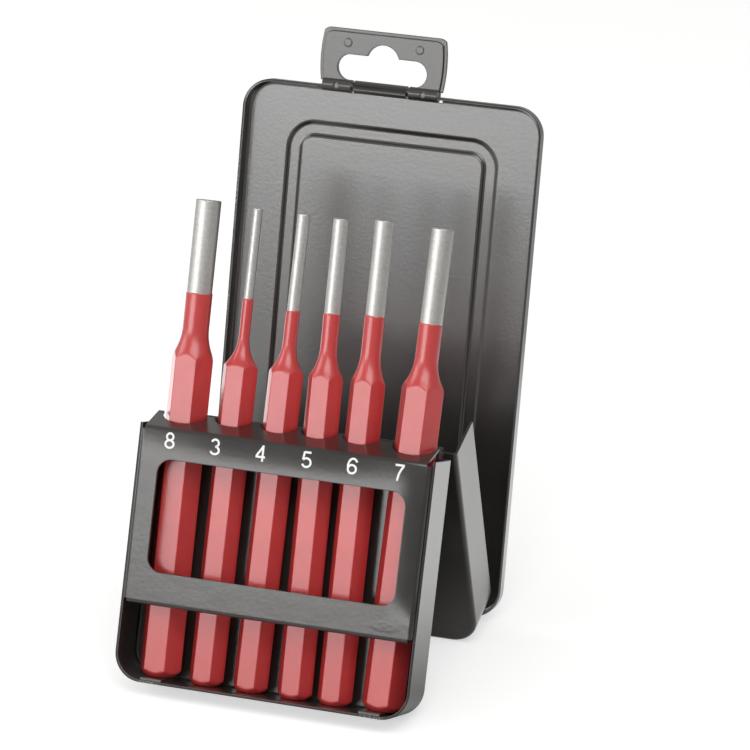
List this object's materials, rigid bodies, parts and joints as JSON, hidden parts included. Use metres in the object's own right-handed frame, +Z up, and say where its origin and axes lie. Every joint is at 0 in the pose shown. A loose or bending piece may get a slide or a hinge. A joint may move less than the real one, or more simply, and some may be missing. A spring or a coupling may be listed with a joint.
{
  "type": "pin punch set in folding easel case",
  "caption": "Pin punches of graded sizes standing in the tray of a folding sheet-steel case; hinged shells prop it up as an easel, and a slotted hanger flips up at the top.",
  "frame": {"origin": "on the table, under the middle of the easel's bounding box", "axes": "+X to the right as seen from the front, +Y to the back, +Z up; the punches' side faces -Y"},
  "size_m": [0.1016, 0.1374, 0.1807],
  "materials": {
    "case_paint": "semi-gloss black paint",
    "holder_paint": "semi-gloss black paint",
    "back_paint": "semi-gloss black paint",
    "hanger_paint": "semi-gloss black paint",
    "pin_steel": "drawn wire",
    "punch_paint": "glossy red enamel, tips of bare ground steel"
  },
  "bodies": {
    "tray_body": {"tray": "case_paint", "punch_holder": "holder_paint", "top_hinge_pin": "pin_steel"},
    "middle_body": {"middle_shell": "case_paint", "bottom_hinge_pin": "pin_steel"},
    "back_body": {"back_shell": "back_paint"},
    "hanger_body": {"hanger": "hanger_paint", "hanger_pin": "pin_steel"},
    "punch_8_body": {"punch_8": "punch_paint"},
    "punch_3_body": {"punch_3": "punch_paint"},
    "punch_4_body": {"punch_4": "punch_paint"},
    "punch_5_body": {"punch_5": "punch_paint"},
    "punch_6_body": {"punch_6": "punch_paint"},
    "punch_7_body": {"punch_7": "punch_paint"}
  },
  "joints": [
    {"name": "top_hinge", "type": "hinge", "parent": "tray_body", "child": "middle_body", "pos_m": [0, -0.02269, 0.07675], "axis": [-1, 0, 0], "range_deg": [-55, 37]},
    {"name": "bottom_hinge", "type": "hinge", "parent": "middle_body", "child": "back_body", "pos_m": [0, 0.01641, 0.00222], "axis": [1, 0, 0], "range_deg": [-165, 20]},
    {"name": "hanger_hinge", "type": "hinge", "parent": "back_body", "child": "hanger_body", "pos_m": [0, 0.06317, 0.16274], "axis": [1, 0, 0], "range_deg": [-75, 90]},
    {"name": "punch_8_slide", "type": "slide", "parent": "tray_body", "child": "punch_8_body", "axis": [-0.0076, 0.342, 0.9397], "range_m": [0, 0.085]},
    {"name": "punch_3_slide", "type": "slide", "parent": "tray_body", "child": "punch_3_body", "axis": [-0.0011, 0.342, 0.9397], "range_m": [0, 0.085]},
    {"name": "punch_4_slide", "type": "slide", "parent": "tray_body", "child": "punch_4_body", "axis": [0.0025, 0.342, 0.9397], "range_m": [0, 0.085]},
    {"name": "punch_5_slide", "type": "slide", "parent": "tray_body", "child": "punch_5_body", "axis": [-0.0139, 0.342, 0.9396], "range_m": [0, 0.085]},
    {"name": "punch_6_slide", "type": "slide", "parent": "tray_body", "child": "punch_6_body", "axis": [-0.0082, 0.342, 0.9397], "range_m": [0, 0.085]},
    {"name": "punch_7_slide", "type": "slide", "parent": "tray_body", "child": "punch_7_body", "axis": [0.0134, 0.342, 0.9396], "range_m": [0, 0.085]}
  ]
}
